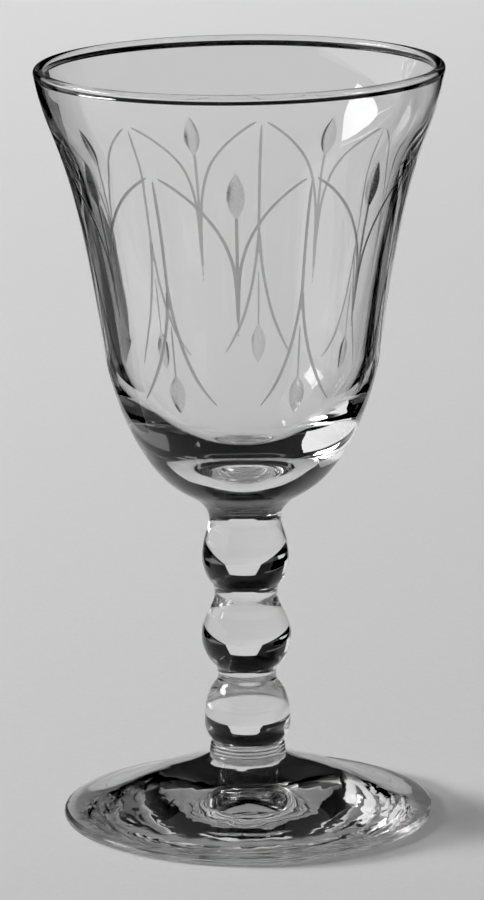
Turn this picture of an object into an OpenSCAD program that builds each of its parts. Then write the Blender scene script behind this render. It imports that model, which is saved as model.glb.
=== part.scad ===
// Cordial glass with a flared bowl, a stem of three balls and a wide foot.
// The seven pieces are turned shapes that meet face to face on flat fused joints.
// The glass stands on its foot, with the origin on the axis at the resting face.

/* [Bowl] */
// Outer diameter of the mouth, across the rounded lip
mouth_d = 53.9; // [48:0.1:60]
// Thickness of the rounded lip, which stands in from the wall
lip_t = 1.4; // [1.2:0.05:1.8]
// Wall of the bowl just under the lip
rim_wall = 1.05; // [0.85:0.05:1.15]
// Height of the bowl above its joint with the collar
bowl_h = 58.3; // [52:0.1:66]
// Outer diameter of the waist, where the flare begins
waist_d = 36.5; // [32:0.1:42]
// Height of the waist above the joint
waist_h = 20.5; // [16:0.1:26]
// Outer diameter of the belly, where the bowl turns in to its base
belly_d = 21.8; // [18:0.1:26]
// Height of the belly above the joint
belly_h = 3.4; // [2.6:0.1:4.4]
// Wall of the bowl at the waist
waist_wall = 2.05; // [1.5:0.05:2.4]
// Solid glass under the lowest point of the hollow
base_t = 5.1; // [4.2:0.1:6.5]
// Diameter of the joint between bowl and collar
bowl_joint_d = 12.4; // [11:0.1:14]

/* [Bowl collar] */
// Height of the collar between bowl and stem
bowl_collar_h = 2.7; // [2:0.1:3.8]

/* [Upper ball] */
// Largest diameter of the upper ball
upper_ball_d = 11.6; // [10.8:0.1:14]
// Height of the upper ball between its joints
upper_ball_h = 10.1; // [8.5:0.1:13]
// Diameter of the joint above the upper ball
upper_joint_d = 9.6; // [8:0.1:10.2]

/* [Middle ball] */
// Largest diameter of the middle ball
middle_ball_d = 12; // [10.8:0.1:14.5]
// Height of the middle ball between its joints
middle_ball_h = 11.2; // [9:0.1:14]
// Diameter of the joint above the middle ball
middle_joint_d = 8.4; // [7:0.1:9.4]

/* [Lower ball] */
// Largest diameter of the lower ball
lower_ball_d = 11.5; // [10.8:0.1:14]
// Height of the lower ball between its joints
lower_ball_h = 9.3; // [8:0.1:12]
// Diameter of the joint above the lower ball
lower_joint_d = 7.8; // [6.6:0.1:9]

/* [Foot collar] */
// Height of the ringed collar between stem and foot
foot_collar_h = 1.4; // [1:0.1:2.4]
// Diameter of the joint above the ringed collar
ring_joint_d = 9.4; // [8.4:0.1:10]
// How far each ring stands out from the grooves beside it
ring_out = 0.27; // [0.1:0.01:0.4]

/* [Foot] */
// Diameter of the foot
foot_d = 49.6; // [44:0.1:56]
// Height of the foot up to its joint with the ringed collar
foot_h = 8.5; // [7:0.1:11]
// Thickness of the foot at its rounded edge
edge_t = 1.25; // [1:0.05:2]
// Diameter of the joint between foot and ringed collar
foot_joint_d = 9.8; // [8.8:0.1:11]
// Diameter of the foot's sloping cone where it is half way down
flank_d = 27.3; // [22:0.1:31]
// Inner diameter of the flat ring that the foot rests on
rest_ring_d = 39.1; // [35:0.1:42]
// Depth of the hollow under the foot
foot_hollow = 1.75; // [0.8:0.05:2.2]

/* [Hidden] */
$fn = 128;

// Clear glass with a very slight cool tint
glass_colour = [0.88, 0.92, 0.94, 0.45];

// Steps along each drawn curve, and along each round of the lip and the foot's edge
curve_steps = 26;
round_steps = 12;

// Directions of the bowl's outline, in degrees from straight down, leaning in towards the axis
rim_angle = 10;
waist_angle = 7.8;
belly_angle = 43.9;
bowl_joint_angle = 47.3;
// Direction in which the lip's round ends under it, inside the bowl
under_lip_angle = 38;
// How far down the wall the lip's inner side blends into it, as a share of the lip's radius
under_lip_share = 1.2;
// How far each end of a curve keeps its direction, as shares of the curve's height
flare_shares = [0.28, 0.8];
body_shares = [0.3, 0.355];
turn_shares = [0.84, 0.42];
collar_shares = [0.5, 0.45];
under_lip_shares = [0.4, 0.4];
inner_flare_shares = [0.28, 0.78];
// The hollow's round bottom keeps these shares of its height and of its radius
hollow_shares = [0.665, 0.385];

// Shares that shape each ball: height of its widest place, roundness below it,
// where the round meets the neck, and how long each end of the shoulder runs straight
upper_shares = [0.485, 1.13, 0.28, 0.5, 0.165];
middle_shares = [0.485, 1.05, 0.215, 0.45, 0.29];
lower_shares = [0.29, 1.44, 0.45, 0.82, 0.22];
// Shares that draw the tight hollow curve between a ball and the neck under it
neck_blend_shares = [0.7, 0.15];

// The foot's outline leaves the joint steeply and runs down one straight slope
foot_joint_angle = 20.6;
flank_angle = 66.5;
// Height of the half way place on the slope, as a share of the height above the edge
flank_share = 0.512;
foot_top_shares = [0.32, 0.57];
foot_skirt_shares = [0.61, 0.29];
// How flat the hollow under the foot is near its middle, where 2 is an even bow
hollow_flatness = 2.6;

// Rings on the foot collar
ring_count = 3;

// Heights of the joints above the table
foot_collar_z = foot_h;
lower_ball_z = foot_collar_z + foot_collar_h;
middle_ball_z = lower_ball_z + lower_ball_h;
upper_ball_z = middle_ball_z + middle_ball_h;
bowl_collar_z = upper_ball_z + upper_ball_h;
bowl_z = bowl_collar_z + bowl_collar_h;

// A step down and in towards the axis, at an angle from straight down
function leaning(angle) = [-sin(angle), -cos(angle)];

// Points of a smooth curve through two ends and two handles
function curve_points(start, handle_a, handle_b, end) =
    [for (i = [0 : curve_steps])
        let (t = i / curve_steps, s = 1 - t)
        s * s * s * start + 3 * s * s * t * handle_a + 3 * s * t * t * handle_b + t * t * t * end];

// A curve that leaves its start at one angle and reaches its end at another, running down
function falling_curve(start, start_angle, end, end_angle, shares) =
    let (height = start[1] - end[1])
    curve_points(start, start + shares[0] * height * leaning(start_angle),
        end - shares[1] * height * leaning(end_angle), end);

// Points on a round from one angle to another, in degrees
function round_points(centre, radius, from_angle, to_angle) =
    [for (i = [0 : round_steps])
        let (a = from_angle + (to_angle - from_angle) * i / round_steps)
        centre + radius * [cos(a), sin(a)]];

// The same points in the other order
function reversed(points) = [for (i = [len(points) - 1 : -1 : 0]) points[i]];

// Outline of a ball from its lower neck to its upper neck, with z measured from the lower joint
function ball_outline(ball_r, ball_h, low_r, high_r, shares) =
    let (
        middle_z = shares[0] * ball_h,
        round_h = shares[1] * middle_z,
        meet_r = low_r + shares[2] * (ball_r - low_r),
        meet_angle = acos(meet_r / ball_r),
        meet = [meet_r, middle_z - round_h * sin(meet_angle)],
        slope = round_h * cos(meet_angle) / (ball_r * sin(meet_angle)),
        corner = meet - (meet_r - low_r) * [1, slope],
        shoulder_h = ball_h - middle_z)
    concat(
        curve_points([low_r, 0], [low_r, corner[1] * (1 - neck_blend_shares[1])],
            meet + neck_blend_shares[0] * (corner - meet), meet),
        [for (i = [1 : curve_steps])
            let (a = meet_angle * (1 - i / curve_steps))
            [ball_r * cos(a), middle_z - round_h * sin(a)]],
        curve_points([ball_r, middle_z], [ball_r, middle_z + shares[3] * shoulder_h],
            [high_r, ball_h - shares[4] * shoulder_h], [high_r, ball_h]));

// A solid turned round the axis from an outline that runs upwards, closed on the axis
module turned(outline) {
    last = len(outline) - 1;
    rotate_extrude()
        polygon(concat([[0, outline[0][1]]], outline, [[0, outline[last][1]]]));
}

module ball(ball_d, ball_h, low_d, high_d, shares) {
    turned(ball_outline(ball_d / 2, ball_h, low_d / 2, high_d / 2, shares));
}

module bowl() {
    lip_r = lip_t / 2;
    lip_centre = [mouth_d / 2 - lip_r, bowl_h - lip_r];
    across = [cos(rim_angle), -sin(rim_angle)];
    inner_rim = lip_centre + (lip_r - rim_wall) * across + under_lip_share * lip_r * leaning(rim_angle);
    under_lip = lip_centre - lip_r * [cos(under_lip_angle), sin(under_lip_angle)];
    waist = [waist_d / 2, waist_h];
    belly = [belly_d / 2, belly_h];
    inner_waist = waist - waist_wall * [cos(waist_angle), -sin(waist_angle)];
    floor_z = base_t;
    hollow_handle_z = inner_waist[1] - hollow_shares[0] * (inner_waist[1] - floor_z);
    outside = concat(
        falling_curve(lip_centre + lip_r * across, rim_angle, waist, waist_angle, flare_shares),
        falling_curve(waist, waist_angle, belly, belly_angle, body_shares),
        falling_curve(belly, belly_angle, [bowl_joint_d / 2, 0], bowl_joint_angle, turn_shares));
    inside = concat(
        falling_curve(under_lip, -under_lip_angle, inner_rim, rim_angle, under_lip_shares),
        falling_curve(inner_rim, rim_angle, inner_waist, waist_angle, inner_flare_shares),
        curve_points(inner_waist,
            inner_waist + (inner_waist[1] - hollow_handle_z) * leaning(waist_angle),
            [hollow_shares[1] * inner_waist[0], floor_z], [0, floor_z]));
    lip = round_points(lip_centre, lip_r, -rim_angle, 180 + under_lip_angle);
    color(glass_colour)
        translate([0, 0, bowl_z])
            rotate_extrude()
                polygon(concat([[0, 0]], reversed(outside), lip, inside));
}

module bowl_collar() {
    color(glass_colour)
        translate([0, 0, bowl_collar_z])
            turned(reversed(falling_curve([bowl_joint_d / 2, bowl_collar_h], bowl_joint_angle,
                [upper_joint_d / 2, 0], 0, collar_shares)));
}

module upper_ball() {
    color(glass_colour)
        translate([0, 0, upper_ball_z])
            ball(upper_ball_d, upper_ball_h, middle_joint_d, upper_joint_d, upper_shares);
}

module middle_ball() {
    color(glass_colour)
        translate([0, 0, middle_ball_z])
            ball(middle_ball_d, middle_ball_h, lower_joint_d, middle_joint_d, middle_shares);
}

module lower_ball() {
    color(glass_colour)
        translate([0, 0, lower_ball_z])
            ball(lower_ball_d, lower_ball_h, ring_joint_d, lower_joint_d, lower_shares);
}

// Rounded rings, one above the other, on a body that narrows a little towards the stem
module foot_collar() {
    ring_h = foot_collar_h / ring_count;
    outline = [for (i = [0 : ring_count * round_steps])
        let (share = i / (ring_count * round_steps),
            body_r = (foot_joint_d + (ring_joint_d - foot_joint_d) * share) / 2)
        [body_r + ring_out * pow(sin(180 * (share * foot_collar_h % ring_h) / ring_h), 2),
            share * foot_collar_h]];
    color(glass_colour)
        translate([0, 0, foot_collar_z])
            turned(outline);
}

module foot() {
    edge_r = edge_t / 2;
    edge_centre = [foot_d / 2 - edge_r, edge_r];
    joint = [foot_joint_d / 2, foot_h];
    flank = [flank_d / 2, edge_t + flank_share * (foot_h - edge_t)];
    skirt_w = edge_centre[0] - flank[0];
    slope = -[-sin(flank_angle), cos(flank_angle)];
    top = curve_points(joint,
        joint + foot_top_shares[0] * (foot_h - flank[1]) * [sin(foot_joint_angle), -cos(foot_joint_angle)],
        flank - foot_top_shares[1] * (foot_h - flank[1]) * slope, flank);
    skirt = curve_points(flank, flank + foot_skirt_shares[0] * skirt_w * slope,
        [edge_centre[0] - foot_skirt_shares[1] * skirt_w, edge_t], [edge_centre[0], edge_t]);
    edge = round_points(edge_centre, edge_r, 90, -90);
    hollow = [for (i = [0 : curve_steps])
        let (share = 1 - i / curve_steps)
        [rest_ring_d / 2 * share, foot_hollow * (1 - pow(share, hollow_flatness))]];
    color(glass_colour)
        rotate_extrude()
            polygon(concat([[0, foot_h]], top, skirt, edge, hollow));
}

bowl();
bowl_collar();
upper_ball();
middle_ball();
lower_ball();
foot_collar();
foot();
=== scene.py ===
# A small stemmed cordial glass, clear and cut, standing on pale paper in soft studio light.
# Every piece is turned round the axis in mesh code, and its outline is worked out below in millimetres.
import math
import bpy
import numpy as np
from mathutils import Matrix, Vector
from mathutils.geometry import delaunay_2d_cdt


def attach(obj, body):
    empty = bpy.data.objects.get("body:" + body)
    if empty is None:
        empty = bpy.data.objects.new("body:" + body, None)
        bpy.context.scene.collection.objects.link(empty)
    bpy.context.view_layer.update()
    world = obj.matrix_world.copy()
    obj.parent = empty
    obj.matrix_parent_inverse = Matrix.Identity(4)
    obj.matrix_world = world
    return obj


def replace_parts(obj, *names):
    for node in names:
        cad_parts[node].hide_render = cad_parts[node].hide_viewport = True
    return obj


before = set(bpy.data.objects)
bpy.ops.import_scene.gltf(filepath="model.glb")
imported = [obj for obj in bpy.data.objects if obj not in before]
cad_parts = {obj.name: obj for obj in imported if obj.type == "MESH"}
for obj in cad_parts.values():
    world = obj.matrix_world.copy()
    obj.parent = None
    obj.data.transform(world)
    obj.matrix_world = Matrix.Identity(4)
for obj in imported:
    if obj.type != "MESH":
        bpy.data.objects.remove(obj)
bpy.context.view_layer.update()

MM = 0.001
scene = bpy.context.scene

# ---- Sizes of the glass, in millimetres ----
MOUTH_R = 53.9 / 2
LIP_R = 1.4 / 2
RIM_WALL = 1.05
BOWL_H = 58.3
WAIST = (36.5 / 2, 20.5)
BELLY = (21.8 / 2, 3.4)
WAIST_WALL = 2.05
BASE_T = 5.1
BOWL_JOINT_R = 12.4 / 2
BOWL_COLLAR_H = 2.7
UPPER_BALL = (11.6 / 2, 10.1)
MIDDLE_BALL = (12 / 2, 11.2)
LOWER_BALL = (11.5 / 2, 9.3)
UPPER_JOINT_R = 9.6 / 2
MIDDLE_JOINT_R = 8.4 / 2
LOWER_JOINT_R = 7.8 / 2
RING_JOINT_R = 9.4 / 2
FOOT_COLLAR_H = 1.4
RING_OUT = 0.27
RING_COUNT = 3
FOOT_R = 49.6 / 2
FOOT_H = 8.5
FOOT_EDGE_R = 1.25 / 2
FOOT_JOINT_R = 9.8 / 2
FLANK_R = 27.3 / 2
REST_RING_R = 39.1 / 2
FOOT_HOLLOW = 1.75

# Directions of the outline, in degrees from straight down
RIM_ANGLE = 10
UNDER_LIP_ANGLE = 38
WAIST_ANGLE = 7.8
BELLY_ANGLE = 43.9
BOWL_JOINT_ANGLE = 47.3
FOOT_JOINT_ANGLE = 20.6
FLANK_ANGLE = 66.5

# How far each end of a curve keeps its direction, as shares of the curve's height
FLARE_SHARES = (0.28, 0.8)
BODY_SHARES = (0.3, 0.355)
TURN_SHARES = (0.84, 0.42)
COLLAR_SHARES = (0.5, 0.45)
UNDER_LIP_SHARE = 1.2
UNDER_LIP_SHARES = (0.4, 0.4)
INNER_FLARE_SHARES = (0.28, 0.78)
HOLLOW_SHARES = (0.665, 0.385)
UPPER_SHARES = (0.485, 1.13, 0.28, 0.5, 0.165)
MIDDLE_SHARES = (0.485, 1.05, 0.215, 0.45, 0.29)
LOWER_SHARES = (0.29, 1.44, 0.45, 0.82, 0.22)
NECK_BLEND_SHARES = (0.7, 0.15)
FLANK_SHARE = 0.512
FOOT_TOP_SHARES = (0.32, 0.57)
FOOT_SKIRT_SHARES = (0.61, 0.29)
HOLLOW_FLATNESS = 2.6

# Rows of the parts of the outlines that are worked out directly
BELLY_ROWS = 27
RING_STEPS = 20
REST_ROWS = 4
HOLLOW_ROWS = 24

# Heights of the joints above the table
FOOT_COLLAR_Z = FOOT_H
LOWER_BALL_Z = FOOT_COLLAR_Z + FOOT_COLLAR_H
MIDDLE_BALL_Z = LOWER_BALL_Z + LOWER_BALL[1]
UPPER_BALL_Z = MIDDLE_BALL_Z + MIDDLE_BALL[1]
BOWL_COLLAR_Z = UPPER_BALL_Z + UPPER_BALL[1]
BOWL_Z = BOWL_COLLAR_Z + BOWL_COLLAR_H

# ---- Outlines, as rows of radius and height ----


def leaning(angle):
    """A step down and in towards the axis, at an angle from straight down."""
    a = math.radians(angle)
    return np.array([-math.sin(a), -math.cos(a)])


def curve(start, handle_a, handle_b, end, steps):
    """Points of a smooth curve through two ends and two handles."""
    t = np.linspace(0, 1, steps + 1)[:, None]
    s = 1 - t
    a, b, c, d = (np.array(p, float) for p in (start, handle_a, handle_b, end))
    return s**3 * a + 3 * s * s * t * b + 3 * s * t * t * c + t**3 * d


def falling(start, start_angle, end, end_angle, shares, steps):
    """A curve that leaves its start at one angle and reaches its end at another, running down."""
    start, end = np.array(start, float), np.array(end, float)
    height = start[1] - end[1]
    return curve(start, start + shares[0] * height * leaning(start_angle),
                 end - shares[1] * height * leaning(end_angle), end, steps)


def arc(centre, radius, from_angle, to_angle, steps):
    """Points on a round from one angle to another."""
    a = np.radians(np.linspace(from_angle, to_angle, steps + 1))
    return np.array(centre) + radius * np.stack([np.cos(a), np.sin(a)], 1)


def join(*runs):
    """Joins runs of points that share their ends."""
    return np.vstack([runs[0]] + [r[1:] for r in runs[1:]])


def ball_outline(ball, low_r, high_r, shares):
    """A ball of the stem, from its lower neck to its upper neck."""
    ball_r, ball_h = ball
    middle = shares[0] * ball_h
    round_h = shares[1] * middle
    meet_r = low_r + shares[2] * (ball_r - low_r)
    meet_angle = math.acos(meet_r / ball_r)
    meet = np.array([meet_r, middle - round_h * math.sin(meet_angle)])
    slope = round_h * math.cos(meet_angle) / (ball_r * math.sin(meet_angle))
    corner = meet - (meet_r - low_r) * np.array([1, slope])
    shoulder = ball_h - middle
    blend = curve((low_r, 0), (low_r, corner[1] * (1 - NECK_BLEND_SHARES[1])),
                  meet + NECK_BLEND_SHARES[0] * (corner - meet), meet, steps=14)
    a = meet_angle * np.linspace(1, 0, BELLY_ROWS)
    belly = np.stack([ball_r * np.cos(a), middle - round_h * np.sin(a)], 1)
    top = curve((ball_r, middle), (ball_r, middle + shares[3] * shoulder),
                (high_r, ball_h - shares[4] * shoulder), (high_r, ball_h), steps=34)
    return join(blend, belly, top)


def bowl_outlines():
    """The bowl's outside from its joint up to the lip, the lip, and the hollow down to its floor."""
    lip = np.array([MOUTH_R - LIP_R, BOWL_H - LIP_R])
    a = math.radians(RIM_ANGLE)
    across = np.array([math.cos(a), -math.sin(a)])
    inner_rim = lip + (LIP_R - RIM_WALL) * across + UNDER_LIP_SHARE * LIP_R * leaning(RIM_ANGLE)
    u = math.radians(UNDER_LIP_ANGLE)
    under_lip = lip - LIP_R * np.array([math.cos(u), math.sin(u)])
    w = math.radians(WAIST_ANGLE)
    inner_waist = np.array(WAIST) - WAIST_WALL * np.array([math.cos(w), -math.sin(w)])
    handle = HOLLOW_SHARES[0] * (inner_waist[1] - BASE_T)
    flare = falling(lip + LIP_R * across, RIM_ANGLE, WAIST, WAIST_ANGLE, FLARE_SHARES, steps=60)
    body = falling(WAIST, WAIST_ANGLE, BELLY, BELLY_ANGLE, BODY_SHARES, steps=40)
    turn_in = falling(BELLY, BELLY_ANGLE, (BOWL_JOINT_R, 0), BOWL_JOINT_ANGLE, TURN_SHARES, steps=14)
    round_lip = arc(lip, LIP_R, -RIM_ANGLE, 180 + UNDER_LIP_ANGLE, steps=28)
    under = falling(under_lip, -UNDER_LIP_ANGLE, inner_rim, RIM_ANGLE, UNDER_LIP_SHARES, steps=14)
    inner_flare = falling(inner_rim, RIM_ANGLE, inner_waist, WAIST_ANGLE, INNER_FLARE_SHARES, steps=36)
    hollow = curve(inner_waist, inner_waist + handle * leaning(WAIST_ANGLE),
                   (HOLLOW_SHARES[1] * inner_waist[0], BASE_T), (0, BASE_T), steps=60)
    return join(flare, body, turn_in)[::-1], round_lip, join(under, inner_flare, hollow)


def collar_outline():
    """The short collar under the bowl, from the stem up."""
    return falling((BOWL_JOINT_R, BOWL_COLLAR_H), BOWL_JOINT_ANGLE, (UPPER_JOINT_R, 0), 0,
                   COLLAR_SHARES, steps=24)[::-1]


def foot_collar_outline():
    """Rounded rings, one above the other, on a body that narrows a little towards the stem."""
    share = np.linspace(0, 1, 1 + RING_STEPS * RING_COUNT)
    body = FOOT_JOINT_R + (RING_JOINT_R - FOOT_JOINT_R) * share
    swell = RING_OUT * np.sin(math.pi * RING_COUNT * share) ** 2
    return np.stack([body + swell, share * FOOT_COLLAR_H], 1)


def foot_outline():
    """The foot from the middle of its hollow out round the edge and up to the joint."""
    edge = np.array([FOOT_R - FOOT_EDGE_R, FOOT_EDGE_R])
    edge_t = 2 * FOOT_EDGE_R
    joint = np.array([FOOT_JOINT_R, FOOT_H])
    flank = np.array([FLANK_R, edge_t + FLANK_SHARE * (FOOT_H - edge_t)])
    skirt_w = edge[0] - flank[0]
    down = leaning(-FLANK_ANGLE)
    start = leaning(-FOOT_JOINT_ANGLE)
    drop = FOOT_H - flank[1]
    top = curve(joint, joint + FOOT_TOP_SHARES[0] * drop * start,
                flank - FOOT_TOP_SHARES[1] * drop * down, flank, steps=26)
    skirt = curve(flank, flank + FOOT_SKIRT_SHARES[0] * skirt_w * down,
                  (edge[0] - FOOT_SKIRT_SHARES[1] * skirt_w, edge_t), (edge[0], edge_t), steps=34)
    rounded = arc(edge, FOOT_EDGE_R, 90, -90, steps=14)
    rest = np.stack([np.linspace(edge[0], REST_RING_R, REST_ROWS), np.zeros(REST_ROWS)], 1)
    share = np.linspace(1, 0, HOLLOW_ROWS)
    hollow = np.stack([REST_RING_R * share, FOOT_HOLLOW * (1 - share**HOLLOW_FLATNESS)], 1)
    return join(top, skirt, rounded)[::-1], rest[::-1], hollow[::-1]


# ---- Turning outlines into meshes ----
SEGMENTS = 224
NO_RADIUS = 1e-6
DECIMALS = 5           # places that agree to this many are one vertex
# The places of the materials on a piece
POLISHED, FUSED, CUT, CUT_BUD = range(4)


def normals_of(points):
    """The outward direction at each row of an outline that runs upwards outside the glass."""
    step = np.gradient(points, axis=0)
    n = np.stack([step[:, 1], -step[:, 0]], 1)
    return n / np.linalg.norm(n, axis=1)[:, None]


class Shell:
    """Gathers vertices, faces, their slots and the normals of their corners."""

    def __init__(self, name, angles=None):
        self.name = name
        self.angles = np.linspace(0, 2 * math.pi, SEGMENTS, endpoint=False) if angles is None else angles
        self.rings = {}
        self.verts, self.faces, self.slots, self.normals = [], [], [], []

    def ring(self, r, z):
        """The vertices of one ring, or the one vertex of a ring that has shrunk to the axis."""
        key = (round(float(r), DECIMALS), round(float(z), DECIMALS))
        if key not in self.rings:
            first = len(self.verts)
            if r < NO_RADIUS:
                self.verts.append((0.0, 0.0, z))
                self.rings[key] = [first] * len(self.angles)
            else:
                self.verts += [(r * math.sin(a), -r * math.cos(a), z) for a in self.angles]
                self.rings[key] = list(range(first, first + len(self.angles)))
        return self.rings[key]

    def face(self, corners, normals, slot):
        """One face. Corners that share a vertex on the axis are counted once."""
        kept = [i for i, v in enumerate(corners) if v not in corners[:i]]
        if len(kept) > 2:
            self.faces.append([corners[i] for i in kept])
            self.normals.append([normals[i] for i in kept])
            self.slots.append(slot)

    def wall(self, points):
        """Faces between the rings of an outline. Its outside is on the right of the way it runs."""
        n = normals_of(points)
        rows = [self.ring(r, z) for r, z in points]
        count = len(self.angles)
        turned = [[(x * math.sin(a), -x * math.cos(a), z) for a in self.angles] for x, z in n]
        for i in range(len(rows) - 1):
            low, high = rows[i], rows[i + 1]
            for j in range(count):
                k = (j + 1) % count
                self.face([low[j], low[k], high[k], high[j]],
                          [turned[i][j], turned[i][k], turned[i + 1][k], turned[i + 1][j]], POLISHED)

    def cap(self, r, z, up):
        """A flat disc across a joint, as a fan of faces round its middle."""
        n = (0.0, 0.0, 1.0 if up else -1.0)
        ring = self.ring(r, z)
        centre = self.ring(0.0, z)
        count = len(ring)
        for j in range(count):
            k = (j + 1) % count
            a, b = (ring[j], ring[k]) if up else (ring[k], ring[j])
            self.face([a, b, centre[0]], [n, n, n], FUSED)

    def build(self, materials, z0=0.0):
        """Makes the piece, lifted to its height above the table, with its own split normals."""
        verts = np.array(self.verts, float)
        verts[:, 2] += z0
        mesh = bpy.data.meshes.new(self.name)
        mesh.from_pydata((verts * MM).tolist(), [], self.faces)
        for material in materials:
            mesh.materials.append(material)
        mesh.polygons.foreach_set("material_index", self.slots)
        mesh.polygons.foreach_set("use_smooth", [True] * len(self.faces))
        mesh.update()
        mesh.normals_split_custom_set([n for face in self.normals for n in face])
        piece = bpy.data.objects.new(self.name, mesh)
        scene.collection.objects.link(piece)
        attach(piece, "root")
        return piece


# ---- Materials ----
GLASS_IOR = 1.51
GLASS_TINT = (0.985, 0.985, 0.985, 1)
WAVE_DETAIL = 1.5
GRAIN_SCALE = 9000
GRAIN_DEPTH = 0.000001


def shader(name):
    """A new material, its nodes and links, and its main shader."""
    material = bpy.data.materials.new(name)
    material.use_nodes = True
    tree = material.node_tree
    return material, tree.nodes, tree.links, tree.nodes["Principled BSDF"]


def noise(nodes, links, scale, detail):
    """Smooth noise laid out on the object, with a scale in bumps per metre."""
    place = nodes.new("ShaderNodeTexCoord")
    out = nodes.new("ShaderNodeTexNoise")
    out.inputs["Scale"].default_value = scale
    out.inputs["Detail"].default_value = detail
    links.new(place.outputs["Object"], out.inputs["Vector"])
    return out


def bump(nodes, links, main, height, depth):
    """Relief of a given depth in metres from a height between nought and one."""
    relief = nodes.new("ShaderNodeBump")
    relief.inputs["Strength"].default_value = 1.0
    relief.inputs["Distance"].default_value = depth
    links.new(height.outputs[0], relief.inputs["Height"])
    links.new(relief.outputs[0], main.inputs["Normal"])


def glass_material(name, wave_scale, wave_depth):
    """Polished lead free glass with the faint waviness of hot work."""
    material, nodes, links, main = shader(name)
    main.inputs["Base Color"].default_value = GLASS_TINT
    main.inputs["Roughness"].default_value = 0.0
    main.inputs["IOR"].default_value = GLASS_IOR
    main.inputs["Transmission Weight"].default_value = 1.0
    bump(nodes, links, main, noise(nodes, links, wave_scale, WAVE_DETAIL), wave_depth)
    return material


def cut_material(name, level, smooth, rough):
    """The unpolished surface that the cutting wheel leaves, with its fine grain. Its grey base colour is
    partly the cut's own frosted grey and partly painted shade that darkens the cut.
    """
    material, nodes, links, main = shader(name)
    main.inputs["Base Color"].default_value = (level, level, level, 1)
    main.inputs["IOR"].default_value = GLASS_IOR
    main.inputs["Transmission Weight"].default_value = 1.0
    grain = noise(nodes, links, GRAIN_SCALE, 2.0)
    spread = nodes.new("ShaderNodeMapRange")
    spread.inputs["To Min"].default_value = smooth
    spread.inputs["To Max"].default_value = rough
    links.new(grain.outputs[0], spread.inputs["Value"])
    links.new(spread.outputs[0], main.inputs["Roughness"])
    bump(nodes, links, main, grain, GRAIN_DEPTH)
    return material


def joint_material():
    """Inside a fused joint there is no surface to see, so the two flat ends let light straight through."""
    material, nodes, links, main = shader("fused_joint")
    main.inputs["Alpha"].default_value = 0.0
    main.inputs["IOR"].default_value = 1.0
    return material


polished = glass_material("polished_glass", wave_scale=160, wave_depth=0.000012)
polished_foot = glass_material("polished_foot_glass", wave_scale=220, wave_depth=0.00009)
# The level is a grey base colour that is partly the frosted cut's own grey and partly painted shade. The
# lines get the darker painted shade and the buds a lighter one.
cut = cut_material("cut_glass", level=0.33, smooth=0.28, rough=0.42)
cut_bud = cut_material("cut_bud_glass", level=0.66, smooth=0.2, rough=0.34)
fused = joint_material()


# ---- The cut ornament: a row of lancet arches with buds between them ----
# Directions of the arches' middles round the bowl, in degrees from the front
ARCH_AXES = (-28.6, 22.7, 72.2, 121.6, 172.6, 221.7, 276.5)
FRONT_BUD_SHIFT = 1.4  # the front bud stands a little to the right of midway
HALF_UNIT = 0.5 * 360 / len(ARCH_AXES)
HALF_COLUMNS = 15
CUT_TOP = 93.0
CUT_BOTTOM = 56.0
FLAT_R = 20.0          # radius at which the ornament is laid out flat
FLAT = FLAT_R * math.pi / 180
LINE_HALF = 0.21
LINE_DEPTH = 0.11
THIN_HALF = 0.13
THIN_DEPTH = 0.07
FAINT = 0.8            # share of a line's size that its faint end has
STROKE_STEPS = 60
LINE_STEP = 0.2        # between the points of a cut line, in millimetres
BUD_STEPS = 44
TAPER_FLOOR = 0.04     # share of its width and depth that a line keeps at its very end
TAPER_POWER = 0.6
BUD_FLOOR = 0.03
BUD_POWERS = (0.7, 0.95)
SAME = 1e-6            # places nearer than this are the same place
LAYOUT_PRECISION = 1e-7
END_MARGIN = 0.2       # the cut band's own points stay this far inside its ends


def unit_ends():
    """Directions of the first arch, the bud after it, the next arch and so on, once round."""
    arches = list(ARCH_AXES) + [ARCH_AXES[0] + 360]
    out = []
    for a, b in zip(arches, arches[1:]):
        out += [a, (a + b) / 2]
    out[1] += FRONT_BUD_SHIFT
    return out + arches[-1:]


def column_angles():
    """Directions of the bowl's columns, an equal number between each arch and the next bud."""
    ends = unit_ends()
    out = []
    for a, b in zip(ends, ends[1:]):
        out += list(np.linspace(a, b, HALF_COLUMNS, endpoint=False))
    return np.radians(np.array(out))


outside, round_lip, inside = bowl_outlines()
outside_z = outside[:, 1] + BOWL_Z


def radius_at(z):
    """The bowl's outer radius at a height above the table."""
    return np.interp(z, outside_z, outside[:, 0])


def stroke(points, half, depth, taper):
    """One cut line: its middle, half width and depth at each step, thinning at both ends."""
    line = np.array(points, float)
    if len(line) == 4:
        line = curve(*line, STROKE_STEPS)
    along = np.concatenate([[0], np.cumsum(np.linalg.norm(np.diff(line, axis=0) * [FLAT, 1], axis=1))])
    n = max(3, int(along[-1] / LINE_STEP))
    t = np.linspace(0, along[-1], n)
    mid = np.stack([np.interp(t, along, line[:, 0] * FLAT), np.interp(t, along, line[:, 1])], 1)
    ease = np.ones(n)
    if taper[0]:
        ease = np.minimum(ease, np.clip(t / taper[0], TAPER_FLOOR, 1) ** TAPER_POWER)
    if taper[1]:
        ease = np.minimum(ease, np.clip((along[-1] - t) / taper[1], TAPER_FLOOR, 1) ** TAPER_POWER)
    wide = half * ease * FLAT_R / radius_at(mid[:, 1])
    return dict(mid=mid, wide=wide, depth=depth * ease)


def bud(centre_angle, top, bottom, half, depth, lower_share):
    """A pointed oval cut, widest at a share of its height from the bottom."""
    z = np.linspace(bottom, top, BUD_STEPS)
    t = (z - bottom) / (top - bottom)
    shape = np.where(t < lower_share, np.sin(0.5 * math.pi * t / lower_share) ** BUD_POWERS[0],
                     np.sin(0.5 * math.pi * (1 - t) / (1 - lower_share)) ** BUD_POWERS[1])
    shape = np.clip(shape, BUD_FLOOR, 1)
    mid = np.stack([np.full(BUD_STEPS, centre_angle * FLAT), z], 1)
    return dict(mid=mid, wide=half * shape * FLAT_R / radius_at(z), depth=depth * shape, fine=True)


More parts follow.
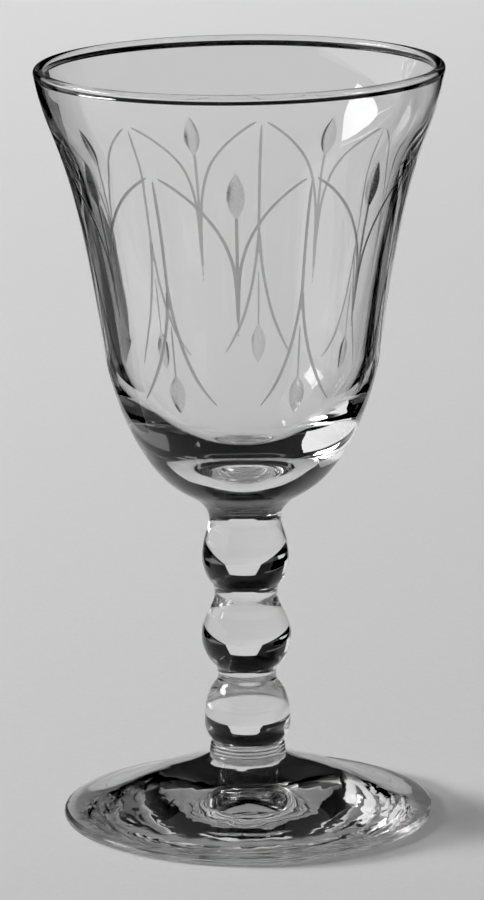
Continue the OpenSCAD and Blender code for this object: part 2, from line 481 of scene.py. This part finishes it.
# The half unit's cuts, by direction from the arch's middle in degrees and height in millimetres
strokes = [
    stroke([(0, 90.1), (0, 72.6)], LINE_HALF, LINE_DEPTH, (2.5, 0)),
    stroke([(0, 75.5), (1.2, 68.5), (6.5, 62.6), (18.3, 59.0)], LINE_HALF, LINE_DEPTH, (0, 5.0)),
    stroke([(0, 71), (0, 62.8)], THIN_HALF, THIN_DEPTH, (3.0, 0)),
    bud(0, 63.4, 58.2, 1.1, 0.36, 0.55),
    stroke([(1.2, 90.2), (10.5, 88.2), (HALF_UNIT - 0.9, 83.0), (HALF_UNIT - 0.5, 75.5)],
           LINE_HALF, LINE_DEPTH, (1.2, 0)),
    stroke([(HALF_UNIT - 0.5, 75.6), (HALF_UNIT - 0.2, 69.0)],
           LINE_HALF * FAINT, LINE_DEPTH * FAINT, (0, 6.0)),
    stroke([(HALF_UNIT, 85.6), (HALF_UNIT, 76)], LINE_HALF, LINE_DEPTH, (0, 0)),
    bud(HALF_UNIT, 91.2, 84.9, 1.22, 0.42, 0.48),
]


def cut_depth(p, which=None):
    """How deep the glass is cut at a place of the flat layout, by all cuts, the buds or the lines."""
    best = 0.0
    for s in strokes:
        if which is not None and bool(s.get("fine")) != which:
            continue
        a, b = s["mid"][:-1], s["mid"][1:]
        d = b - a
        t = np.clip(((p - a) * d).sum(1) / (d * d).sum(1), 0, 1)
        near = a + t[:, None] * d
        gap = np.linalg.norm(p - near, axis=1)
        wide = s["wide"][:-1] + t * (s["wide"][1:] - s["wide"][:-1])
        deep = s["depth"][:-1] + t * (s["depth"][1:] - s["depth"][:-1])
        best = max(best, float((deep * np.clip(1 - (gap / wide) ** 2, 0, None)).max()))
    return best


CELL = 0.5             # cells in which near points are looked up
CUT_GAP = 0.09         # least gap between points on the cuts
BESIDE_GAP = 0.28      # and between those beside the cuts
BESIDE = 0.3           # how far these lie from the cuts
GRID_GAP = 0.45        # and between those of the plain grid
GRID_ROWS = 34
GRID_MARGIN = 0.3      # and between the grid and the border's sides
SIDE_MARGIN = 0.05     # and between the other points and the border's sides
GRID_SHIFT = 0.15      # rows of the grid are shifted to and fro by this
SIDE_ROWS = 124
BUD_SHARES = (1.0, 0.8, 0.6, 0.4, 0.2)


def sideways(s):
    """The direction across a cut at each of its points."""
    step = np.gradient(s["mid"], axis=0)
    step /= np.linalg.norm(step, axis=1)[:, None]
    return np.stack([-step[:, 1], step[:, 0]], 1)


def layout_points():
    """Points of the half unit: its border, the cuts' middles and sides, and a plain grid between them."""
    width = HALF_UNIT * FLAT
    rows = np.linspace(CUT_BOTTOM, CUT_TOP, GRID_ROWS)
    columns = np.linspace(0, width, HALF_COLUMNS + 1)
    border = [(x, z) for x in columns for z in (CUT_BOTTOM, CUT_TOP)]
    side_rows = np.linspace(CUT_BOTTOM, CUT_TOP, SIDE_ROWS)
    border += [(x, z) for x in (0.0, width) for z in side_rows[1:-1]]
    kept = list(border)
    cells = {}

    def free(p, gap):
        """Whether no point lies nearer than the gap."""
        cx, cz = int(p[0] / CELL), int(p[1] / CELL)
        for i in range(cx - 1, cx + 2):
            for j in range(cz - 1, cz + 2):
                for q in cells.get((i, j), ()):
                    if math.hypot(q[0] - p[0], q[1] - p[1]) < gap:
                        return False
        return True

    def add(p):
        cells.setdefault((int(p[0] / CELL), int(p[1] / CELL)), []).append(p)

    for p in border:
        add(p)

    def offer(p, gap, margin=SIDE_MARGIN):
        """Keeps a point that lies inside the border and free of the others."""
        inside_ends = CUT_BOTTOM + END_MARGIN < p[1] < CUT_TOP - END_MARGIN
        if margin < p[0] < width - margin and inside_ends and free(p, gap):
            add(p)
            kept.append(p)

    for s in strokes:
        for p in s["mid"]:
            offer(tuple(p), CUT_GAP)
    for s in strokes:
        across = sideways(s)
        for share in BUD_SHARES if s.get("fine") else BUD_SHARES[:1]:
            for sign in (-1, 1):
                for p, w, v in zip(s["mid"], s["wide"], across):
                    offer(tuple(p + sign * share * w * v), CUT_GAP)
    for s in strokes:
        across = sideways(s)
        for sign in (-1, 1):
            for p, w, v in zip(s["mid"][::2], s["wide"][::2], across[::2]):
                offer(tuple(p + sign * (w + BESIDE) * v), BESIDE_GAP)
    for i, z in enumerate(rows[1:-1]):
        for x in columns[1:-1] + (GRID_SHIFT if i % 2 else -GRID_SHIFT):
            offer((x, z), GRID_GAP, GRID_MARGIN)
    return kept


def build_bowl():
    """The bowl, with plain walls below and above the cut band and the ornament's half units between."""
    shell = Shell("bowl_glass", column_angles())
    angles = shell.angles
    z0 = BOWL_Z
    low = outside[outside_z < CUT_BOTTOM - END_MARGIN]
    high = outside[outside_z > CUT_TOP + END_MARGIN]
    low = np.vstack([low, [radius_at(CUT_BOTTOM), CUT_BOTTOM - z0]])
    high = np.vstack([[radius_at(CUT_TOP), CUT_TOP - z0], high])
    all_n = normals_of(outside)

    def normal_at(z):
        """The outward direction of the uncut wall at a height above the table."""
        n = np.array([np.interp(z, outside_z, all_n[:, 0]), np.interp(z, outside_z, all_n[:, 1])])
        return n / np.linalg.norm(n)

    shell.wall(low)
    shell.wall(high)
    shell.wall(round_lip)
    shell.wall(inside)
    shell.cap(BOWL_JOINT_R, 0.0, False)

    points = [Vector(p) for p in layout_points()]
    made, _, faces, *_ = delaunay_2d_cdt(points, [], [], 0, LAYOUT_PRECISION)
    made = np.array([tuple(v) for v in made])
    depth = np.array([cut_depth(p) for p in made])
    slot_of = {}
    for f in faces:
        middle = made[list(f)].mean(axis=0)
        slot_of[tuple(f)] = POLISHED
        if cut_depth(middle, True) > 0:
            slot_of[tuple(f)] = CUT_BUD
        elif cut_depth(middle, False) > 0:
            slot_of[tuple(f)] = CUT
    width = HALF_UNIT * FLAT
    count = len(angles)
    bottom, top = shell.ring(*low[-1]), shell.ring(*high[0])
    ends = np.radians(np.array(unit_ends()))
    seam = {}
    for half in range(2 * len(ARCH_AXES)):
        unit, mirrored = divmod(half, 2)
        index = []
        for (x, z), d in zip(made, depth):
            share = x / width
            place = 1 - 0.5 * share if mirrored else 0.5 * share
            column = unit * 2 * HALF_COLUMNS + int(round(place * 2 * HALF_COLUMNS))
            if abs(z - CUT_BOTTOM) < SAME:
                index.append(bottom[column % count])
                continue
            if abs(z - CUT_TOP) < SAME:
                index.append(top[column % count])
                continue
            key = None
            if share < SAME or share > 1 - SAME:
                key = (int(round(unit * 2 + 2 * place)) % (2 * len(ARCH_AXES)), round(float(z), DECIMALS))
                if key in seam:
                    index.append(seam[key])
                    continue
            way = 1 - share if mirrored else share
            a = ends[half] + way * (ends[half + 1] - ends[half])
            n = normal_at(z)
            r = radius_at(z) - d * n[0]
            index.append(len(shell.verts))
            shell.verts.append((r * math.sin(a), -r * math.cos(a), z - z0 - d * n[1]))
            if key:
                seam[key] = index[-1]
        for face in faces:
            corners = [index[i] for i in face]
            if mirrored:
                corners = corners[::-1]
            if slot_of[tuple(face)]:
                shell.face(corners, [(0.0, 0.0, 0.0)] * len(corners), slot_of[tuple(face)])
                continue
            normals = []
            for v in corners:
                x, y, z = shell.verts[v]
                n = normal_at(z + z0)
                r = math.hypot(x, y)
                normals.append((n[0] * x / r, n[0] * y / r, n[1]))
            shell.face(corners, normals, POLISHED)
    return shell.build([polished, fused, cut, cut_bud], z0)


def build_turned(name, outline, z0):
    """A piece of the stem, closed by a cap at each joint."""
    shell = Shell(name)
    shell.wall(outline)
    shell.cap(*outline[0], False)
    shell.cap(*outline[-1], True)
    return shell.build([polished, fused], z0)


def build_foot():
    """The foot, with its hollow, its resting ring and its sloping top."""
    shell = Shell("foot_glass")
    top, rest, hollow = foot_outline()
    shell.wall(hollow)
    shell.wall(rest)
    shell.wall(top)
    shell.cap(FOOT_JOINT_R, FOOT_H, True)
    return shell.build([polished_foot, fused])


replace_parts(build_bowl(), "bowl")
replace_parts(build_turned("bowl_collar_glass", collar_outline(), BOWL_COLLAR_Z), "bowl_collar")
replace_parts(build_turned("upper_ball_glass",
                         ball_outline(UPPER_BALL, MIDDLE_JOINT_R, UPPER_JOINT_R, UPPER_SHARES),
                         UPPER_BALL_Z), "upper_ball")
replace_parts(build_turned("middle_ball_glass",
                         ball_outline(MIDDLE_BALL, LOWER_JOINT_R, MIDDLE_JOINT_R, MIDDLE_SHARES),
                         MIDDLE_BALL_Z), "middle_ball")
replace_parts(build_turned("lower_ball_glass",
                         ball_outline(LOWER_BALL, RING_JOINT_R, LOWER_JOINT_R, LOWER_SHARES),
                         LOWER_BALL_Z), "lower_ball")
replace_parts(build_turned("foot_collar_glass", foot_collar_outline(), FOOT_COLLAR_Z), "foot_collar")
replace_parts(build_foot(), "foot")

# ---- Camera, at the photo's angle ----
CAMERA_AT = (-0.00028, -0.6846, 0.2050)
CAMERA_PITCH = 12.77
CAMERA_ROLL = 0.75
CAMERA_LENS = 211.8
SENSOR_WIDTH = 36
camera_data = bpy.data.cameras.new("camera")
camera_data.lens = CAMERA_LENS
camera_data.sensor_width = SENSOR_WIDTH
camera_data.sensor_fit = "AUTO"
camera = bpy.data.objects.new("camera", camera_data)
scene.collection.objects.link(camera)
pitch = math.radians(CAMERA_PITCH)
roll = math.radians(CAMERA_ROLL)
level_x = Vector((1, 0, 0))
level_y = Vector((0, math.sin(pitch), math.cos(pitch)))
axis_x = level_x * math.cos(roll) - level_y * math.sin(roll)
axis_y = level_x * math.sin(roll) + level_y * math.cos(roll)
axis_z = axis_x.cross(axis_y)
turn = Matrix((axis_x, axis_y, axis_z)).transposed().to_4x4()
camera.matrix_world = Matrix.Translation(CAMERA_AT) @ turn
scene.camera = camera

# ---- Studio ----


def staged(name, verts, faces, material):
    """A piece of the studio that isn't part of the glass."""
    mesh = bpy.data.meshes.new(name)
    mesh.from_pydata(verts, [], faces)
    mesh.materials.append(material)
    thing = bpy.data.objects.new(name, mesh)
    scene.collection.objects.link(thing)
    return thing


PAPER_TONES = (0.77, 0.83)
FIBRE_SCALE = 1400


def paper_material():
    """Matt pale paper with a faint fibre."""
    material, nodes, links, main = shader("paper")
    fibre = noise(nodes, links, FIBRE_SCALE, 3.0)
    shade = nodes.new("ShaderNodeMapRange")
    shade.inputs["To Min"].default_value = PAPER_TONES[0]
    shade.inputs["To Max"].default_value = PAPER_TONES[1]
    links.new(fibre.outputs[0], shade.inputs["Value"])
    links.new(shade.outputs[0], main.inputs["Base Color"])
    main.inputs["Roughness"].default_value = 0.9
    main.inputs["Specular IOR Level"].default_value = 0.1
    return material


THIN_WALLS = 3.5       # more surfaces than this are the thin walls of the bowl
NO_TURN = 0.5          # fewer turns back than this are none


def card_material(name, level, deepest, thin_only=False, turned_back=False):
    """A card of one tone that shows by how many surfaces of glass a ray has crossed.

    It shows to rays that have crossed at most the deepest number, or with thin_only to those that have
    crossed more, as thin walls have two surfaces each. With turned_back it shows only to rays that
    have also been turned back inside the glass. With no deepest number it shows to all.
    """
    material = bpy.data.materials.new(name)
    material.use_nodes = True
    nodes, links = material.node_tree.nodes, material.node_tree.links
    nodes.clear()
    out = nodes.new("ShaderNodeOutputMaterial")
    tone = nodes.new("ShaderNodeEmission")
    tone.inputs["Color"].default_value = (level, level, level, 1)
    if not deepest:
        links.new(tone.outputs[0], out.inputs[0])
        return material
    clear = nodes.new("ShaderNodeBsdfTransparent")
    mix = nodes.new("ShaderNodeMixShader")
    path = nodes.new("ShaderNodeLightPath")
    deep = nodes.new("ShaderNodeMath")
    deep.operation = "GREATER_THAN"
    deep.inputs[1].default_value = deepest
    links.new(path.outputs["Transmission Depth"], deep.inputs[0])
    first, second = (clear, tone) if thin_only else (tone, clear)
    choice = deep
    if turned_back:
        straight = nodes.new("ShaderNodeMath")
        straight.operation = "LESS_THAN"
        straight.inputs[1].default_value = NO_TURN
        links.new(path.outputs["Glossy Depth"], straight.inputs[0])
        choice = nodes.new("ShaderNodeMath")
        choice.operation = "MAXIMUM"
        links.new(deep.outputs[0], choice.inputs[0])
        links.new(straight.outputs[0], choice.inputs[1])
    links.new(choice.outputs[0], mix.inputs[0])
    links.new(first.outputs[0], mix.inputs[1])
    links.new(second.outputs[0], mix.inputs[2])
    links.new(mix.outputs[0], out.inputs[0])
    return material


ROOM_DARK = 0.012
PAPER_BRIGHT = 0.62
LEFT_GREY = 0.07
DARK_GREY = 0.085
SIDE_GREY = 0.16
NEAR_GREY = 0.2
paper = paper_material()
black = card_material("black_card", ROOM_DARK, THIN_WALLS)
dark_thin = card_material("dark_side_card", DARK_GREY, THIN_WALLS, thin_only=True)
grey_solid = card_material("grey_left_card", LEFT_GREY, THIN_WALLS)
grey_turned = card_material("grey_turned_card", LEFT_GREY, THIN_WALLS, turned_back=True)
grey_thin = card_material("grey_near_card", NEAR_GREY, THIN_WALLS, thin_only=True)
grey_always = card_material("grey_side_card", SIDE_GREY, 0)
sweep_tone = card_material("paper_sweep", PAPER_BRIGHT, THIN_WALLS)
horizon_tone = card_material("horizon_paper", PAPER_BRIGHT, THIN_WALLS, thin_only=True)
FLOOR = 3.0
FLOOR_Z = -0.0002
floor = staged("floor", [(-FLOOR, -FLOOR, FLOOR_Z), (FLOOR, -FLOOR, FLOOR_Z), (FLOOR, FLOOR, FLOOR_Z),
                         (-FLOOR, FLOOR, FLOOR_Z)], [(0, 1, 2, 3)], paper)

# Black cards leave a strip of paper behind the glass for the solid glass to show
CARD_Z = 0.003
CARD_OUT = 2.9
SWEEP_Y = 0.35
SWEEP_TOP = 0.068
SWEEP_LEFT = (-0.088, SWEEP_Y)
SWEEP_RIGHT = (0.125, SWEEP_Y)
SWEEP_TOP_LEFT = -0.054
SWEEP_TOP_RIGHT = 0.096


def bent_light_only(thing):
    """Hides a thing from the camera and from the light that falls on the paper."""
    thing.visible_camera = False
    thing.visible_diffuse = False
    thing.visible_shadow = False


def card(name, corners, material, height=CARD_Z):
    """A flat card a little above the paper, by its corners seen from above."""
    verts = [(x, y, height) for x, y in corners]
    bent_light_only(staged(name, verts, [tuple(range(len(verts)))], material))


# The left card has a window for what is seen straight through the mouth from the right
WINDOW_NEAR = 0.18
WINDOW_FAR = 0.285
WINDOW_HALF = 0.033
DIAGONAL = math.sqrt(0.5)
WINDOW = [((side * WINDOW_HALF - out) * DIAGONAL, (side * WINDOW_HALF + out) * DIAGONAL)
          for side, out in ((-1, WINDOW_NEAR), (1, WINDOW_NEAR), (1, WINDOW_FAR), (-1, WINDOW_FAR))]
LEFT_EDGE = (-0.08, 0.15)
LEFT_START = (-0.075, 0.03)
LEFT_SIDE = (-0.16, 0.038)
LEFT_MIDDLE = (-0.4, 0.061)
LEFT_OUTER = (-CARD_OUT, 0.3)
FAR_LEFT = (-0.6, CARD_OUT)
FAR_RIGHT = (0.8, CARD_OUT)
RIGHT_START = (0.057, -0.02)
RIGHT_OUTER = (CARD_OUT, -0.6)
card("card_left", [SWEEP_LEFT, FAR_LEFT, (-CARD_OUT, CARD_OUT), LEFT_OUTER, LEFT_MIDDLE,
                   WINDOW[3], WINDOW[2]], black)
card("card_left_near", [LEFT_START, LEFT_EDGE, WINDOW[1], WINDOW[0], LEFT_SIDE], black)
card("card_left_side", [LEFT_SIDE, WINDOW[0], WINDOW[3], LEFT_MIDDLE], grey_solid)
card("card_left_back", [LEFT_EDGE, SWEEP_LEFT, WINDOW[2], WINDOW[1]], grey_solid)
card("card_left_window", WINDOW, grey_turned)
card("card_right", [RIGHT_START, RIGHT_OUTER, (CARD_OUT, CARD_OUT), FAR_RIGHT, SWEEP_RIGHT], black)
card("card_far", [SWEEP_LEFT, SWEEP_RIGHT, FAR_RIGHT, FAR_LEFT], black)
bent_light_only(staged("sweep", [(*SWEEP_LEFT, CARD_Z), (*SWEEP_RIGHT, CARD_Z),
                                 (SWEEP_TOP_RIGHT, SWEEP_Y, SWEEP_TOP),
                                 (SWEEP_TOP_LEFT, SWEEP_Y, SWEEP_TOP)], [(0, 1, 2, 3)], sweep_tone))

# Small cards that lie over these, at the sides of the strip
UPPER_Z = 2 * CARD_Z
NEAR_BACK = (-0.077, 0.24)
NEAR_BACK_OUT = (-0.2, 0.24)
card("side_card_left", [NEAR_BACK, (-0.075, 0.27), (-0.1, 0.47), (-0.36, 0.47), NEAR_BACK_OUT],
     dark_thin, UPPER_Z)
card("near_card_left", [(-0.085, 0.16), NEAR_BACK, NEAR_BACK_OUT, (-0.16, 0.19)], grey_thin, UPPER_Z)
card("side_card_right", [(0.11, 0.16), (0.4, 0.2), (0.4, 0.45), (0.13, 0.36)], grey_always, UPPER_Z)

# A low pale ring where the paper ends, so that thin walls show what lies beside them
HORIZON_H = 0.09
HORIZON_SIDES = 48
turns = [2 * math.pi * i / HORIZON_SIDES for i in range(HORIZON_SIDES)]
ring_verts = [(CARD_OUT * math.cos(a), CARD_OUT * math.sin(a), z)
              for z in (FLOOR_Z, HORIZON_H) for a in turns]
ring_faces = [(i, (i + 1) % HORIZON_SIDES, HORIZON_SIDES + (i + 1) % HORIZON_SIDES, HORIZON_SIDES + i)
              for i in range(HORIZON_SIDES)]
bent_light_only(staged("horizon", ring_verts, ring_faces, horizon_tone))

# A pale surround for the camera, and a dark room for all that the glass bends or reflects
world = bpy.data.worlds.new("room")
world.use_nodes = True
scene.world = world
w_nodes, w_links = world.node_tree.nodes, world.node_tree.links
background = w_nodes["Background"]
path = w_nodes.new("ShaderNodeLightPath")
tone = w_nodes.new("ShaderNodeMix")
tone.data_type = "RGBA"
tone.inputs["A"].default_value = (ROOM_DARK, ROOM_DARK, ROOM_DARK, 1)
tone.inputs["B"].default_value = (PAPER_BRIGHT, PAPER_BRIGHT, PAPER_BRIGHT, 1)
w_links.new(path.outputs["Is Camera Ray"], tone.inputs["Factor"])
w_links.new(tone.outputs["Result"], background.inputs["Color"])

STUDIO_CENTRE = Vector((0, 0, 0.06))


def from_glass(azimuth, elevation, distance):
    """A place seen from the glass at an azimuth from straight behind it and an elevation."""
    a, e = math.radians(azimuth), math.radians(elevation)
    way = Vector((math.sin(a) * math.cos(e), math.cos(a) * math.cos(e), math.sin(e)))
    return STUDIO_CENTRE + distance * way


def panel(name, azimuth, elevation, distance, spread, radiance, seen=True):
    """A soft light that fills a spread of degrees, across and up, seen from the glass.

    One that isn't seen lights the paper and shows neither through the glass nor on it.
    """
    data = bpy.data.lights.new(name, "AREA")
    data.shape = "RECTANGLE"
    data.size = 2 * distance * math.tan(math.radians(spread[0] / 2))
    data.size_y = 2 * distance * math.tan(math.radians(spread[1] / 2))
    data.energy = radiance * math.pi * data.size * data.size_y
    light = bpy.data.objects.new(name, data)
    scene.collection.objects.link(light)
    place = from_glass(azimuth, elevation, distance)
    aim = (STUDIO_CENTRE - place).to_track_quat("-Z", "Y").to_matrix().to_4x4()
    light.matrix_world = Matrix.Translation(place) @ aim
    light.visible_camera = False
    light.visible_glossy = seen
    light.visible_transmission = seen
    return light


panel("lamp", -84, 29, 0.8, spread=(25, 10.5), radiance=14)
left_panel = panel("left_panel", -92, 8.5, 0.85, spread=(74, 21), radiance=0.9)
panel("left_back_panel", -37, 2.8, 0.9, spread=(36, 1.2), radiance=0.14)
panel("front_panel", 0, 58, 1.0, spread=(100, 13), radiance=0.25)
panel("right_panel", 48, 24, 0.9, spread=(12, 7), radiance=0.2)
panel("right_low_panel", 90, 12, 0.9, spread=(36, 14), radiance=0.12)
panel("right_back_panel", 145, 10, 0.9, spread=(44, 16), radiance=0.045)
panel("low_lamp", -79, 12, 12, spread=(14, 8), radiance=118, seen=False)
overhead = panel("overhead", -30, 54, 1.5, spread=(59, 59), radiance=2.35, seen=False)
OVERHEAD_AT = (-0.5, 1.6, 1.3)
overhead.matrix_world = Matrix.Translation(OVERHEAD_AT)

# The glass doesn't shade the paper from the light above, as clear glass hardly does
blockers = bpy.data.collections.new("overhead_blockers")
blockers.objects.link(floor)
overhead.light_linking.blocker_collection = blockers

# The wide low panel lights the glass and not the paper, which it would burn out close by
lit = bpy.data.collections.new("left_panel_receivers")
lit.objects.link(floor)
lit.collection_objects[0].light_linking.link_state = "EXCLUDE"
left_panel.light_linking.receiver_collection = lit

# The photo's darkest tones are a little deeper than the light alone gives
BLACK_LEVEL = 0.02
scene.view_settings.view_transform = "Standard"
scene.view_settings.look = "None"
scene.view_settings.use_curve_mapping = True
scene.view_settings.curve_mapping.black_level = (BLACK_LEVEL, BLACK_LEVEL, BLACK_LEVEL)
scene.view_settings.curve_mapping.update()
cycles = scene.cycles
cycles.max_bounces = 32
cycles.transmission_bounces = 32
cycles.glossy_bounces = 16
cycles.transparent_max_bounces = 64
cycles.diffuse_bounces = 4
cycles.use_denoising = True
